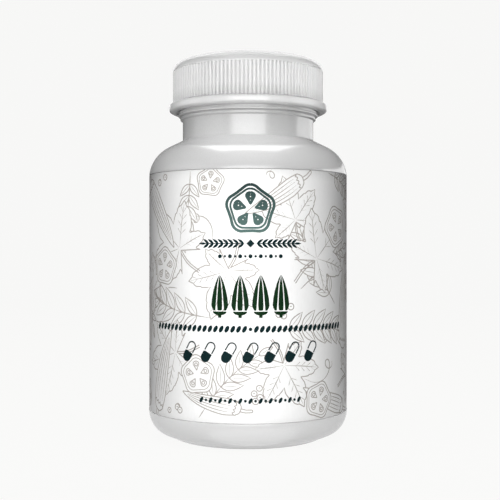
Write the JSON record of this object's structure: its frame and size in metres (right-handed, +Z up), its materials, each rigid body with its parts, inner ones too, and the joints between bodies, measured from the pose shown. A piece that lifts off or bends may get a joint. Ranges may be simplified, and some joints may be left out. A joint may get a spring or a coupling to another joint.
{
  "type": "capsule bottle",
  "caption": "Wide-mouth plastic bottle with a wraparound label and a ribbed screw cap that seals on a disc, holding hard capsules.",
  "frame": {"origin": "centre of the foot ring, on the surface that the bottle stands on", "axes": "+Z up along the bottle's axis, -Y towards the front of the label"},
  "size_m": [0.053, 0.053, 0.1],
  "materials": {
    "bottle": "pearl silver, glossy",
    "label": "white printed film, satin",
    "cap": "pearl grey, satin gloss",
    "liner": "foamed sheet, matt",
    "capsule": "clear shell over green-brown powder"
  },
  "bodies": {
    "bottle": {"bottle": "bottle", "label": "label", "capsule_01": "capsule", "capsule_02": "capsule", "capsule_03": "capsule", "capsule_04": "capsule", "capsule_05": "capsule", "capsule_06": "capsule", "capsule_07": "capsule", "capsule_08": "capsule", "capsule_09": "capsule", "capsule_10": "capsule", "capsule_11": "capsule", "capsule_12": "capsule", "capsule_13": "capsule", "capsule_14": "capsule", "capsule_15": "capsule", "capsule_16": "capsule", "capsule_17": "capsule", "capsule_18": "capsule", "capsule_19": "capsule", "capsule_20": "capsule", "capsule_21": "capsule", "capsule_22": "capsule", "capsule_23": "capsule", "capsule_24": "capsule", "capsule_25": "capsule", "capsule_26": "capsule", "capsule_27": "capsule", "capsule_28": "capsule", "capsule_29": "capsule", "capsule_30": "capsule"},
    "liner": {"liner": "liner"},
    "cap": {"cap": "cap"}
  },
  "joints": [
    {"name": "cap_rise", "type": "slide", "parent": "bottle", "child": "liner", "axis": [0, 0, 1], "range_m": [0, 0.0212]},
    {"name": "cap_turn", "type": "hinge", "parent": "liner", "child": "cap", "pos_m": [0, 0, 0.0855], "axis": [0, 0, 1], "range_deg": [0, 1800]}
  ],
  "couplings": [
    {"joint": "cap_rise", "follows": "cap_turn", "m_per_rad": 0.00067376}
  ]
}
